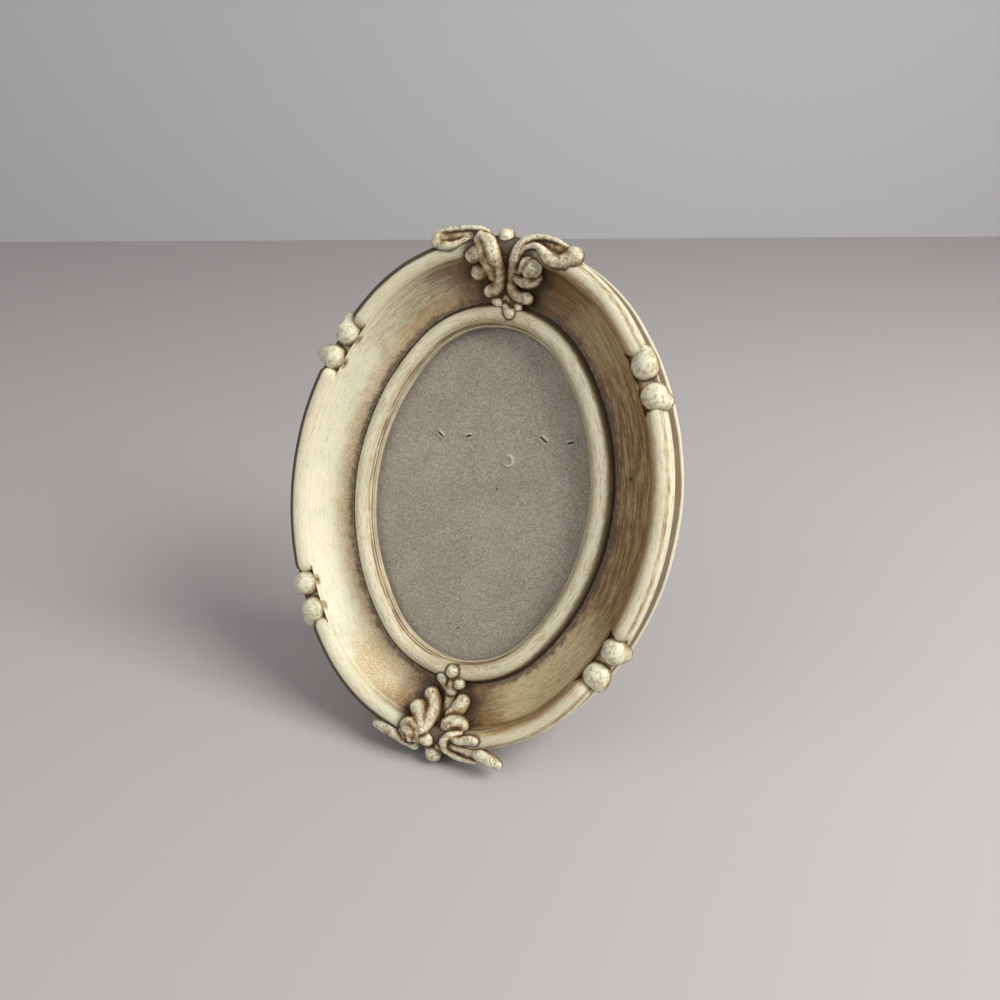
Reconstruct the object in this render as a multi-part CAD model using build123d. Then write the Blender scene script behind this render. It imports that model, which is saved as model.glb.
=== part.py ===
from build123d import *
import os
from math import atan2, cos, degrees, hypot, radians, sin

# An oval table-top picture frame that leans back on a hinged strut.
# Every piece is drawn upright first: +X to the right, +Y up the face, +Z out of the face, with the flat
# back of the moulding at z = 0. The last step leans the whole frame back and sets it on the table.
# Lengths are in millimetres and angles in degrees.

# Stance
lean = 23.6               # the face leans back from vertical
foot_flat_depth = 0.45    # taken off the lowest edge of the flange, so that it rests on a flat

# Sight opening: an oval of four tangent arcs
sight_half_width = 24.0
sight_half_height = 35.2
end_arc_radius = 18.0

# Moulding profile. Offsets are measured outwards from the sight edge, heights forward from the back.
rebate_width = 2.2
rebate_depth = 2.9
lip_thickness = 1.1
bead_offset = 2.35
bead_height = 4.6
bead_radius = 1.85
groove_offset = 4.65
groove_height = 3.45
scoop_start_offset = 5.2
scoop_start_height = 3.75
scoop_sag = 1.3           # how deep the scoop dips below the straight line between its edges
rim_offset = 15.2
rim_height = 9.6
rim_radius = 2.12
wall_taper = 0.15         # the outer wall spreads this much towards the back
flange_width = 0.5
flange_thickness = 1.4
flange_slope = 0.3

# Knobs: each a teardrop on the rim, set in pairs where the rim bead breaks off
knob_angles = (23.7, 29.3)    # along the side arc, above and below the middle
knob_splays = (-50.0, 28.0)   # how far each tail swings from straight outwards
knob_fat_radius = 2.6
knob_tail_radius = 1.3
knob_fat_shift = 1.1          # the fat end sits outside the rim's centre line
knob_tail_reach = 2.0         # from the fat end's centre to the tail's
knob_tail_drop = 1.9
nose_angles = (19.7, 33.6)    # where the rim bead ends in a rounded nose

# Ornament rods: flat-sided, with ends that close over two rings
rod_sides = 8
knob_sides = 20
ring_steps = ((0.0, 1.04), (0.55, 0.87), (0.95, 0.42))    # (along the rod, ring size), in rod radii

# Back stack, from the lip backwards
stack_side_clearance = 0.3
glass_thickness = 1.1
facing_thickness = 0.2

# Strut
board_stock = 1.5             # thickness of the chipboard that the flap and the leg are cut from
cover_thickness = 0.2
hinge_height = 6.0            # hinge line above the middle of the sight opening
strut_top_half_width = 19.0
strut_foot_half_width = 13.0
flap_length = 12.0
leg_hinge_gap = 0.15
strut_angle = 38.0            # between the back and the open leg
tape_half_width = 3.0

# Staples that hold the flap: middle of the crown, and the two leg positions follow
staple_middles = ((-7.6, 11.6), (14.1, 12.9))
staple_half_crown = 3.0
staple_wire_radius = 0.3
staple_hole_clearance = 0.05
staple_tip_depth = 0.05       # the points stop just below the front of the backing board
staple_hole_length = 12.0

# Stay ribbon between the back and the leg
ribbon_reach = 26.0           # from the hinge line to either end
ribbon_width = 5.0
ribbon_thickness = 0.25
ribbon_tab = 4.0

# Turn clips and their screws
clip_angle = 28.0             # along the side arcs, above and below the middle
clip_screw_offset = 6.9
clip_reach = 7.6              # from the screw to the middle of the tip's rounding
clip_half_width = 1.7
clip_thickness = 0.5
clip_running_clearance = 0.06
screw_shank_radius = 0.7
screw_head_radius = 1.55
screw_head_thickness = 0.8
screw_head_clearance = 0.05
screw_depth = 2.9
screw_slot_width = 0.4
screw_slot_share = 0.5        # of the head's thickness
screw_edge_share = 0.55       # the head's edge is rounded by this much of its thickness

# The four arcs of the sight oval, worked out from its three sizes
end_centre = sight_half_height - end_arc_radius
side_arc_radius = (end_centre**2 + sight_half_width**2 - end_arc_radius**2) / (
    2 * (sight_half_width - end_arc_radius)
)
side_centre = side_arc_radius - sight_half_width
join_angle = degrees(atan2(end_centre, side_centre))
side_arcs = (
    ((-side_centre, 0, 0), side_arc_radius, -join_angle, 2 * join_angle),
    ((side_centre, 0, 0), side_arc_radius, 180 - join_angle, 2 * join_angle),
)
end_arcs = (
    ((0, end_centre, 0), end_arc_radius, join_angle, 180 - 2 * join_angle),
    ((0, -end_centre, 0), end_arc_radius, 180 + join_angle, 180 - 2 * join_angle),
)

rim_top = sight_half_height + rim_offset
wall_offset = rim_offset + rim_radius
flange_offset = wall_offset + wall_taper + flange_width
glass_back = rebate_depth - glass_thickness
board_front = glass_back
stack_offset = rebate_width - stack_side_clearance
flap_rear = -board_stock
clip_rear = -clip_thickness
clip_corners = (("upper_right", 1, 1), ("upper_left", -1, 1), ("lower_left", -1, -1), ("lower_right", 1, -1))

on_its_base = (Align.CENTER, Align.CENTER, Align.MIN)
parts = {}


# Small helpers


def side_point(angle, offset, height=0.0, side=1):
    # A point at an angle along the right side arc, or mirrored to the left
    reach = side_arc_radius + offset
    return Vector(side * (reach * cos(radians(angle)) - side_centre), reach * sin(radians(angle)), height)


def oval_prism(offset, low, high):
    edges = [
        CenterArc(centre[:2], radius + offset, start, sweep)
        for centre, radius, start, sweep in side_arcs + end_arcs
    ]
    outline = make_face(Wire(edges))
    return Pos(0, 0, low) * extrude(outline, amount=high - low)


def turned(section, arc, start=None, sweep=None):
    # Turns a section, drawn as (distance from the arc's centre, height), about the arc's centre
    centre, _, arc_start, arc_sweep = arc
    start = arc_start if start is None else start
    sweep = arc_sweep if sweep is None else sweep
    way = radians(start)
    plane = Plane(origin=centre, x_dir=(cos(way), sin(way), 0), z_dir=(sin(way), -cos(way), 0))
    return revolve(plane * section, axis=Axis(centre, (0, 0, 1)), revolution_arc=sweep)


def faceted_rod(start, end, start_radius, end_radius, sides=rod_sides):
    # A tapering rod with flat sides, through rings square to its length that close in at both ends
    start, end = Vector(start), Vector(end)
    length = (end - start).length
    stations = [(-rise * start_radius, share * start_radius) for rise, share in reversed(ring_steps)]
    stations += [(length + rise * end_radius, share * end_radius) for rise, share in ring_steps]
    rings = [Pos(0, 0, height) * RegularPolygon(radius, sides) for height, radius in stations]
    return Plane(origin=start, z_dir=end - start).location * loft(rings, ruled=True)


def fused(solids):
    whole = solids[0]
    for solid in solids[1:]:
        whole = whole + solid
    return whole


# Moulding


def moulding_section(arc_radius):
    def at(offset, height):
        return (arc_radius + offset, height)

    def on_bead(angle):
        way = radians(angle)
        return at(bead_offset + bead_radius * cos(way), bead_height + bead_radius * sin(way))

    lip_front = rebate_depth + lip_thickness
    scoop_start = at(scoop_start_offset, scoop_start_height)
    scoop_end = at(rim_offset - 0.85 * rim_radius, rim_height - 0.35 * rim_radius)
    run, rise = scoop_end[0] - scoop_start[0], scoop_end[1] - scoop_start[1]
    chord = hypot(run, rise)
    scoop_middle = (
        (scoop_start[0] + scoop_end[0]) / 2 + scoop_sag * rise / chord,
        (scoop_start[1] + scoop_end[1]) / 2 - scoop_sag * run / chord,
    )
    wall_top = at(rim_offset + 0.97 * rim_radius, rim_height - 0.1 * rim_radius)
    wall_foot = at(wall_offset + wall_taper, flange_thickness + flange_slope)
    outline = [
        Line(at(0, rebate_depth), at(0, lip_front)),
        Line(at(0, lip_front), on_bead(195)),
        ThreePointArc(on_bead(195), on_bead(90), on_bead(-20)),
        Line(on_bead(-20), at(groove_offset, groove_height)),
        Line(at(groove_offset, groove_height), scoop_start),
        ThreePointArc(scoop_start, scoop_middle, scoop_end),
        Line(scoop_end, wall_top),
        Line(wall_top, wall_foot),
        Line(wall_foot, at(flange_offset, flange_thickness)),
        Line(at(flange_offset, flange_thickness), at(flange_offset, 0)),
        Line(at(flange_offset, 0), at(rebate_width, 0)),
        Line(at(rebate_width, 0), at(rebate_width, rebate_depth)),
        Line(at(rebate_width, rebate_depth), at(0, rebate_depth)),
    ]
    return make_face(Wire(outline))


def rim_bead():
    # Four lengths of round bead with ball noses: the two sides, and the top and foot over the end arcs
    def section(arc):
        return Pos(arc[1] + rim_offset, rim_height) * Circle(rim_radius)

    side_nose, end_nose = nose_angles
    pieces = []
    for arc in side_arcs:
        middle = arc[2] + arc[3] / 2
        pieces.append(turned(section(arc), arc, middle - side_nose, 2 * side_nose))
        pieces.append(turned(section(arc), arc, middle + end_nose, join_angle - end_nose))
        pieces.append(turned(section(arc), arc, middle - join_angle, join_angle - end_nose))
    pieces += [turned(section(arc), arc) for arc in end_arcs]
    for side in (1, -1):
        for angle in (side_nose, end_nose, -side_nose, -end_nose):
            pieces.append(Pos(*side_point(angle, rim_offset, rim_height, side)) * Sphere(rim_radius))
    return pieces


def make_moulding():
    ring = [turned(moulding_section(arc[1]), arc) for arc in side_arcs + end_arcs]
    return fused(ring + rim_bead())


# Applied ornament, bedded on the moulding's surface


def knob(angle, side, level, splay):
    fat = side_point(angle, rim_offset + knob_fat_shift, rim_height, side)
    fat.Y = level * fat.Y
    way = radians(angle + splay)
    sideways, upwards = knob_tail_reach * cos(way), knob_tail_reach * sin(way)
    tail = fat + Vector(side * sideways, level * upwards, -knob_tail_drop)
    return faceted_rod(fat, tail, knob_fat_radius, knob_tail_radius, knob_sides)


def crest_point(x, y, z):
    # Measured from the middle of the rim's top, with the height above the rim's centre line
    return Vector(x, rim_top + y, rim_height + z)


def foot_point(x, y, z):
    return Vector(x, -rim_top + y, rim_height + z)


def strings(place, *runs):
    # Each run is a list of (x, y, z, radius), joined end to end by faceted rods
    made = []
    for run in runs:
        for first, second in zip(run, run[1:]):
            made.append(faceted_rod(place(*first[:3]), place(*second[:3]), first[3], second[3]))
    return made[0] + made[1:]


def make_crest():
    stem = [
        (0.2, -9.5, -5.0, 1.1), (0.6, -6.6, -4.6, 1.2), (0.8, -3.5, -2.8, 1.3), (0.9, -1.3, 1.2, 1.2),
        (0.8, 0.6, 1.8, 1.1), (0.8, 2.6, -0.8, 1.8),
    ]
    left_scroll = [(-13.0, 0.2, 0.9, 1.75), (-8.5, 1.4, 1.0, 1.5), (-4.6, 1.6, 1.2, 1.2)]
    left_leaf = [
        (-3.7, 1.3, 1.7, 1.25), (-1.5, -1.6, 1.2, 1.9), (-0.9, -4.0, -2.0, 1.6), (-1.1, -6.8, -4.0, 1.45),
        (-2.8, -8.1, -4.6, 1.4),
    ]
    left_lobe = [(-2.3, -2.2, -0.3, 1.5), (-5.3, -2.8, -0.9, 1.6)]
    left_low_lobe = [(-2.0, -4.6, -2.6, 1.35), (-5.4, -5.2, -3.4, 1.55)]
    volute = [
        (1.5, -6.6, -4.4, 1.05), (2.2, -3.9, -2.4, 1.1), (3.7, -1.6, 1.0, 1.15), (5.2, 0.4, 1.6, 1.1),
        (8.1, 1.2, 1.0, 1.25), (10.9, 0.9, 0.8, 1.35), (13.3, -0.4, 0.8, 1.5), (15.6, -1.0, 0.9, 1.75),
    ]
    volute_lip = [(8.7, 0.1, 1.9, 0.9), (10.9, -2.1, 1.8, 1.25), (13.2, -2.9, 1.5, 1.45)]
    rosette = [(6.3, -3.1, -0.6, 2.2), (6.6, -1.2, 1.1, 1.05)]
    crescent = [(2.6, -4.9, -3.1, 1.0), (4.7, -5.9, -3.7, 1.3), (7.3, -5.7, -3.2, 1.2)]
    low_crescent = [(2.9, -8.3, -4.8, 1.25), (5.2, -9.0, -4.9, 1.3)]
    cluster = [(-1.3, -10.2, -5.1, 1.4), (0.9, -11.2, -4.2, 1.0), (2.2, -12.5, -3.0, 1.35)]
    cluster_leaf = [(3.2, -10.7, -4.8, 1.0), (1.5, -8.2, -4.7, 1.15)]
    runs = [
        stem, left_scroll, left_leaf, left_lobe, left_low_lobe, volute, volute_lip, rosette, crescent,
        low_crescent, cluster, cluster_leaf,
    ]
    return strings(crest_point, *runs)


def make_foot():
    stem = [
        (0.9, 12.9, -3.1, 1.5), (0.3, 9.0, -4.9, 1.2), (0.4, 6.0, -4.0, 1.25), (0.8, 3.2, -1.8, 1.35),
        (0.9, 0.9, 1.5, 1.3), (0.6, -1.6, 1.2, 1.35), (0.5, -3.5, -0.3, 1.95),
    ]
    small_leaf = [(-1.5, 11.4, -3.9, 0.95), (-1.1, 9.6, -5.0, 0.9)]
    small_hook = [(0.9, 8.7, -4.8, 0.95), (2.0, 10.3, -4.9, 1.25)]
    left_finger = [(-3.2, 6.9, -4.2, 1.45), (-1.7, 4.6, -3.0, 1.5), (-1.0, 1.2, 1.5, 1.7)]
    left_lobe = [(-4.0, 3.7, -1.9, 1.6), (-1.2, 2.3, 0.1, 1.55)]
    left_curl = [(-4.0, 0.9, 1.8, 2.0), (-2.6, -0.7, 1.6, 1.5)]
    left_tail = [
        (-12.7, -0.7, 0.6, 0.9), (-8.6, -1.3, 0.9, 1.35), (-5.3, -2.5, 0.8, 1.2), (-2.4, -3.2, 0.2, 1.1),
    ]
    right_finger = [(3.7, 7.0, -4.3, 1.5), (2.9, 4.4, -2.7, 1.4)]
    right_lobe = [(2.8, 2.4, -0.6, 1.4), (5.5, 3.3, -1.4, 1.7)]
    right_curl = [
        (6.1, 2.3, 0.9, 1.0), (4.5, 1.8, 1.5, 1.05), (3.3, -0.1, 1.6, 1.2), (4.8, -2.1, 0.8, 1.05),
        (7.6, -2.4, 0.5, 1.0), (10.8, -1.3, 0.6, 1.45), (12.9, -1.8, 0.7, 1.35), (15.0, -2.3, 0.3, 0.85),
    ]
    right_arm = [(5.6, 1.2, 1.6, 0.9), (7.9, 1.9, 2.0, 0.95), (9.6, 2.0, 2.1, 1.0)]
    runs = [
        stem, small_leaf, small_hook, left_finger, left_lobe, left_curl, left_tail, right_finger, right_lobe,
        right_curl, right_arm,
    ]
    return strings(foot_point, *runs)


# Back stack and strut


def staple_points():
    return [Vector(x + way * staple_half_crown, y, 0) for x, y in staple_middles for way in (-1, 1)]


def staple_holes():
    radius = staple_wire_radius + staple_hole_clearance
    return [Pos(point.X, point.Y, 0) * Cylinder(radius, staple_hole_length) for point in staple_points()]


def make_staple(middle):
    x, y = middle
    crown_z = flap_rear - cover_thickness - staple_wire_radius
    tip = board_front - staple_tip_depth
    ends = [Vector(x + way * staple_half_crown, y, crown_z) for way in (-1, 1)]
    crown = Pos(x, y, crown_z) * Rot(0, 90, 0) * Cylinder(staple_wire_radius, 2 * staple_half_crown)
    legs = [
        Pos(*end) * Cylinder(staple_wire_radius, tip - crown_z, align=on_its_base) for end in ends
    ]
    corners = [Pos(*end) * Sphere(staple_wire_radius) for end in ends]
    return fused([crown] + legs + corners)


def strut_half_width(distance):
    # The strut narrows evenly from the hinge line to the foot
    share = distance / leg_length
    return strut_top_half_width + (strut_foot_half_width - strut_top_half_width) * share


def flap_slab(low, high, top, bottom):
    height = top - bottom
    middle = (top + bottom) / 2
    return Pos(0, middle, (low + high) / 2) * Box(2 * strut_top_half_width, height, high - low)


def leg_slab(low, high, near, far):
    # A tapered slab of the leg, drawn folded flat, from one distance below the hinge line to another
    corners = [
        (-strut_half_width(near), hinge_height - near), (strut_half_width(near), hinge_height - near),
        (strut_half_width(far), hinge_height - far), (-strut_half_width(far), hinge_height - far),
    ]
    outline = make_face(Polyline(*corners, close=True))
    return Pos(0, 0, low) * extrude(outline, amount=high - low)


def opened(shape):
    # Swings a folded piece of the leg out to its open place, about the hinge line
    return shape.rotate(Axis((0, hinge_height, flap_rear), (1, 0, 0)), strut_angle)


def ribbon_points():
    start = Vector(0, hinge_height - ribbon_reach, 0)
    end = opened(Pos(0, hinge_height - ribbon_reach, 0) * Vertex(0, 0, 0)).center()
    return start, end


def make_ribbon():
    start, end = ribbon_points()
    span = end - start
    half = ribbon_thickness / 2
    tape = Box(ribbon_width, span.length + ribbon_thickness, ribbon_thickness)
    lie = Plane(origin=(start + end) / 2, x_dir=(1, 0, 0), z_dir=Vector(1, 0, 0).cross(span))
    board_tab = Pos(0, start.Y - ribbon_tab / 2, -half) * Box(ribbon_width, ribbon_tab, ribbon_thickness)
    leg_tab = opened(Pos(0, start.Y - ribbon_tab / 2, half) * Box(ribbon_width, ribbon_tab, ribbon_thickness))
    return lie.location * tape, board_tab, leg_tab


# Turn clips


def clip_spots():
    # Name, screw place and the way the clip points, towards the middle of the opening
    spots = []
    for name, side, level in clip_corners:
        place = side_point(clip_angle, clip_screw_offset, 0, side)
        way = Vector(-side * cos(radians(clip_angle)), -level * sin(radians(clip_angle)), 0)
        spots.append((name, Vector(place.X, level * place.Y, 0), way))
    return spots


def make_clip(place, way):
    plate = Plane(origin=place, x_dir=way, z_dir=(0, 0, 1))
    outline = Pos(clip_reach / 2, 0) * SlotCenterToCenter(clip_reach, 2 * clip_half_width)
    hole = Circle(screw_shank_radius + clip_running_clearance)
    return extrude(plate.offset(clip_rear) * (outline - hole), amount=clip_thickness)


def make_screw(place):
    head_face = clip_rear - screw_head_clearance
    shank = Cylinder(screw_shank_radius, screw_depth - head_face, align=on_its_base)
    head = Cylinder(screw_head_radius, screw_head_thickness, align=(Align.CENTER, Align.CENTER, Align.MAX))
    outer_edge = head.edges().filter_by(GeomType.CIRCLE).sort_by(Axis.Z)[0]
    head = fillet(outer_edge, screw_edge_share * screw_head_thickness)
    slot_depth = screw_slot_share * screw_head_thickness
    slot = Box(2 * screw_head_radius, screw_slot_width, slot_depth, align=on_its_base)
    slot = Pos(0, 0, -screw_head_thickness) * slot
    return Pos(place.X, place.Y, head_face) * (shank + (head - slot))


# Put the pieces together, still upright

moulding = make_moulding()
screw_holes = [
    Pos(place.X, place.Y, 0) * Cylinder(screw_shank_radius, screw_depth, align=on_its_base)
    for _, place, _ in clip_spots()
]
moulding = moulding - screw_holes

parts["crest_spray"] = make_crest() - moulding
parts["foot_spray"] = make_foot() - moulding
for height_name, level in (("upper", 1), ("lower", -1)):
    for side_name, side in (("left", -1), ("right", 1)):
        for kind, angle, splay in zip(("side", "end"), knob_angles, knob_splays):
            name = f"{height_name}_{side_name}_{kind}_knob"
            parts[name] = knob(angle, side, level, splay) - moulding
parts["frame_moulding"] = moulding

parts["glass_pane"] = oval_prism(stack_offset, glass_back, rebate_depth)
parts["backing_board"] = oval_prism(stack_offset, facing_thickness, board_front) - staple_holes()
parts["backing_facing"] = oval_prism(stack_offset, 0, facing_thickness) - staple_holes()

ground = -(sight_half_height + flange_offset) * cos(radians(lean)) + foot_flat_depth
hinge_above_ground = hinge_height * cos(radians(lean)) + flap_rear * sin(radians(lean)) - ground
leg_length = hinge_above_ground / cos(radians(strut_angle - lean))

flap_top = hinge_height + flap_length
parts["strut_flap"] = flap_slab(flap_rear, 0, flap_top, hinge_height) - staple_holes()
cover_rear = flap_rear - cover_thickness
cover_bottom = hinge_height + tape_half_width
parts["flap_cover"] = flap_slab(cover_rear, flap_rear, flap_top, cover_bottom) - staple_holes()
for name, middle in zip(("flap_staple_left", "flap_staple_right"), staple_middles):
    parts[name] = make_staple(middle)

leg_overrun = 2 * (board_stock + cover_thickness)
parts["strut_leg"] = opened(leg_slab(flap_rear, 0, leg_hinge_gap, leg_length + leg_overrun))
parts["leg_cover"] = opened(leg_slab(cover_rear, flap_rear, tape_half_width, leg_length + leg_overrun))
upper_tape = flap_slab(cover_rear, flap_rear, cover_bottom, hinge_height)
lower_tape = opened(leg_slab(cover_rear, flap_rear, 0, tape_half_width))
parts["hinge_tape"] = upper_tape + lower_tape

tape, board_tab, leg_tab = make_ribbon()
parts["stay_ribbon"] = fused([tape, board_tab, leg_tab]) - parts["strut_leg"] - parts["backing_facing"]

for name, place, way in clip_spots():
    parts[f"{name}_clip"] = make_clip(place, way)
    parts[f"{name}_clip_screw"] = make_screw(place)

# Lean the frame back and stand it on the table, with the origin under the middle of its outer box

standing = Plane(
    origin=(0, 0, -ground), x_dir=(1, 0, 0), z_dir=(0, -cos(radians(lean)), sin(radians(lean)))
)
below_ground = Pos(0, 0, -rim_top / 2) * Box(8 * rim_top, 8 * rim_top, rim_top)
rests_on_ground = ("frame_moulding", "strut_leg", "leg_cover")
leaned = {}
for name, shape in parts.items():
    shape = shape.moved(standing.location)
    leaned[name] = shape - below_ground if name in rests_on_ground else shape

boxes = [shape.bounding_box() for shape in leaned.values()]
low = [min(tuple(box.min)[axis] for box in boxes) for axis in range(3)]
high = [max(tuple(box.max)[axis] for box in boxes) for axis in range(3)]
shift = Vector(-(low[0] + high[0]) / 2, -(low[1] + high[1]) / 2, 0)

os.makedirs("parts", exist_ok=True)
for name, shape in leaned.items():
    export_step(Pos(*shift) * shape, f"parts/{name}.step")

print("low", low, "high", high)
print("leg length", round(leg_length, 2), "shift", shift, "rise", -ground)
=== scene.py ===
import math
import bpy
import numpy as np
from mathutils import Matrix, Vector
from mathutils.kdtree import KDTree


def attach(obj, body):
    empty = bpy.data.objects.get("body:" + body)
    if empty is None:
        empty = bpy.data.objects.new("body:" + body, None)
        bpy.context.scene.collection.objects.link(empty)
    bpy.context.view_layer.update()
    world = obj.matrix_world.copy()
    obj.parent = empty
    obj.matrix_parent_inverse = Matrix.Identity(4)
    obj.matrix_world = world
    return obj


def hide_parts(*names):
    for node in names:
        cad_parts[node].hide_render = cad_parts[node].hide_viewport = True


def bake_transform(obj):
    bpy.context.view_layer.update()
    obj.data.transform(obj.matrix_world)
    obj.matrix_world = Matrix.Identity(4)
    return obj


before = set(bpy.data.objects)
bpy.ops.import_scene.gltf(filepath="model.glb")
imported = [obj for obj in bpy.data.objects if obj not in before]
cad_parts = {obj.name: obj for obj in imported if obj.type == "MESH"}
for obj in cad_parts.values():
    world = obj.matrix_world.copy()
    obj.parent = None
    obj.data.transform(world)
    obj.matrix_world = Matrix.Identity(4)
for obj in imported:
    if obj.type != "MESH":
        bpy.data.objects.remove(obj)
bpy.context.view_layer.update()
print("CAD frame loaded:", len(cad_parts), "nodes")

# New pieces are modelled upright in millimetres, x to the right, y up the face, z out of the face,
# with the middle of the opening at the origin. standUp() then leans them back onto the table, in metres.
stance = {
    "leanDegrees": 23.6,
    "forward": 5.4668,   # mm, world y of the upright origin
    "rise": 48.273,      # mm, world z of the upright origin
}
oval = {"halfWidth": 24.0, "halfHeight": 35.2, "endRadius": 18.0}   # the sight opening, mm

lean = math.radians(stance["leanDegrees"])
turnUp = math.pi / 2 - lean
standing = (
    Matrix.Translation((0, stance["forward"] / 1000, stance["rise"] / 1000))
    @ Matrix.Rotation(turnUp, 4, "X")
    @ Matrix.Scale(0.001, 4)
)
endCentre = oval["halfHeight"] - oval["endRadius"]
sideRadius = (endCentre**2 + oval["halfWidth"]**2 - oval["endRadius"]**2) / (
    2 * (oval["halfWidth"] - oval["endRadius"])
)
sideCentre = sideRadius - oval["halfWidth"]
joinAngle = math.atan2(endCentre, sideCentre)
rimTop = oval["halfHeight"] + 15.2


# Small helpers

def deselectAll():
    bpy.ops.object.select_all(action="DESELECT")


def pick(*pieces):
    deselectAll()
    for piece in pieces:
        piece.select_set(True)
    bpy.context.view_layer.objects.active = pieces[0]


def newest(name):
    piece = bpy.context.active_object
    piece.name = name
    piece.data.name = name
    return piece


def objectMode():
    bpy.ops.object.mode_set(mode="OBJECT")


def editAll(piece):
    pick(piece)
    bpy.ops.object.mode_set(mode="EDIT")
    bpy.ops.mesh.select_all(action="SELECT")


def applyModifier(piece, kind, **settings):
    pick(piece)
    bpy.ops.object.modifier_add(type=kind)
    modifier = piece.modifiers[-1]
    for key, value in settings.items():
        setattr(modifier, key, value)
    bpy.ops.object.modifier_apply(modifier=modifier.name)


def cleanMesh(piece, distance):
    editAll(piece)
    bpy.ops.mesh.remove_doubles(threshold=distance)
    bpy.ops.mesh.normals_make_consistent(inside=False)
    objectMode()


def setTransform(piece, matrix):
    pick(piece)
    piece.matrix_world = matrix
    bpy.ops.object.transform_apply(location=True, rotation=True, scale=True)


def standUp(piece, finish, degrees):
    # Gives a piece its finish and its place and size in the scene, smooth over edges of fewer degrees
    piece.data.materials.clear()
    piece.data.materials.append(finish)
    setTransform(piece, standing)
    bpy.ops.object.shade_smooth_by_angle(angle=math.radians(degrees))


def selectVerts(piece, wanted):
    # Ends in edit mode, with only those vertices chosen that wanted() says yes to
    bpy.ops.object.mode_set(mode="EDIT")
    bpy.ops.mesh.select_mode(type="VERT")
    bpy.ops.mesh.select_all(action="DESELECT")
    objectMode()
    for vertex in piece.data.vertices:
        vertex.select = wanted(vertex.co)
    bpy.ops.object.mode_set(mode="EDIT")


def raiseVerts(piece, height, wanted):
    selectVerts(piece, wanted)
    bpy.ops.transform.translate(value=(0, 0, height))
    objectMode()


def acrossFrom(x, y):
    # Distance outwards from the edge of the sight opening
    x, y = abs(x), abs(y)
    if math.atan2(y, x + sideCentre) <= joinAngle:
        return math.hypot(x + sideCentre, y) - sideRadius
    return math.hypot(x, y - endCentre) - oval["endRadius"]


def sidePoint(angleDegrees, offset, height, side):
    # A point along the side arc of the oval
    angle = math.radians(angleDegrees)
    reach = sideRadius + offset
    return Vector((side * (reach * math.cos(angle) - sideCentre), reach * math.sin(angle), height))


def roughen(piece, size, strength, depth=2, name="castWaves"):
    # A hand-cast unevenness
    clouds = bpy.data.textures.new(name, "CLOUDS")
    clouds.noise_scale = size
    clouds.noise_depth = depth
    applyModifier(piece, "DISPLACE", texture=clouds, strength=strength, mid_level=0.5, texture_coords="LOCAL")


def storeValues(piece, name, values, kind="FLOAT"):
    layer = piece.data.attributes.get(name) or piece.data.attributes.new(name, kind, "POINT")
    field = "vector" if kind == "FLOAT_VECTOR" else "value"
    layer.data.foreach_set(field, np.asarray(values, np.float32).ravel())


def coordinates(piece):
    points = np.zeros(len(piece.data.vertices) * 3, np.float32)
    piece.data.vertices.foreach_get("co", points)
    return points.reshape(-1, 3).astype(float)


def hollowOf(piece, rounds=60):
    # How far the surface lies below its own smoothed shape, in mm: more than 0 in creases, less on ridges
    points = coordinates(piece)
    normals = np.array([vertex.normal for vertex in piece.data.vertices], float)
    edges = np.zeros(len(piece.data.edges) * 2, np.int32)
    piece.data.edges.foreach_get("vertices", edges)
    edges = edges.reshape(-1, 2)
    count = np.bincount(edges.ravel(), minlength=len(points)).astype(float)[:, None]
    smooth = points.copy()
    for _ in range(rounds):
        total = np.zeros_like(smooth)
        for axis in range(3):
            total[:, axis] = np.bincount(edges[:, 0], smooth[edges[:, 1], axis], len(points))
            total[:, axis] += np.bincount(edges[:, 1], smooth[edges[:, 0], axis], len(points))
        smooth = 0.5 * smooth + 0.5 * total / np.maximum(count, 1)
    return ((smooth - points) * normals).sum(axis=1)


def storePaintMaps(piece):
    points = coordinates(piece)
    storeValues(piece, "facing", [vertex.normal.z for vertex in piece.data.vertices])
    storeValues(piece, "upright", points, "FLOAT_VECTOR")
    storeValues(piece, "across", [acrossFrom(x, y) for x, y, _ in points])


def storeNearness(piece, name, others):
    # Distance in mm from each point to the nearest point of the other pieces
    points = [point for other in others for point in coordinates(other)]
    tree = KDTree(len(points))
    for index, point in enumerate(points):
        tree.insert(point, index)
    tree.balance()
    storeValues(piece, name, [tree.find(point)[2] for point in coordinates(piece)])


def arcPoints(centre, radius, startDegrees, endDegrees, count):
    made = []
    for step in range(count):
        angle = math.radians(startDegrees + (endDegrees - startDegrees) * step / (count - 1))
        made.append((centre[0] + radius * math.cos(angle), centre[1] + radius * math.sin(angle)))
    return made


def linePoints(start, end, count):
    return [
        tuple(a + (b - a) * step / (count + 1) for a, b in zip(start, end)) for step in range(1, count + 1)
    ]


# Camera, at the photograph's viewing angle

cameraView = {
    "location": (0.06423, -0.14813, 0.13213),
    "rotationDegrees": (62.934, 0.288, 21.380),
    "lens": 31.32,
    "sensor": 36.0,
}
bpy.ops.object.camera_add(
    location=cameraView["location"], rotation=[math.radians(a) for a in cameraView["rotationDegrees"]]
)
camera = newest("photoCamera")
camera.data.lens = cameraView["lens"]
camera.data.sensor_width = cameraView["sensor"]
camera.data.clip_start = 0.01
bpy.context.scene.camera = camera
print("camera placed")


# Node helpers: they add to the material that newMaterial() made last, and lay() to its colour so far

making = {}


def newMaterial(name):
    material = bpy.data.materials.new(name)
    material.use_nodes = True
    making["tree"] = material.node_tree
    return material, material.node_tree.nodes["Principled BSDF"]


def setInputs(node, values):
    # Each value is either another node's output, to be linked, or a plain value
    for key, value in values.items():
        if isinstance(value, bpy.types.NodeSocket):
            making["tree"].links.new(value, node.inputs[key])
        else:
            node.inputs[key].default_value = value


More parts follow.
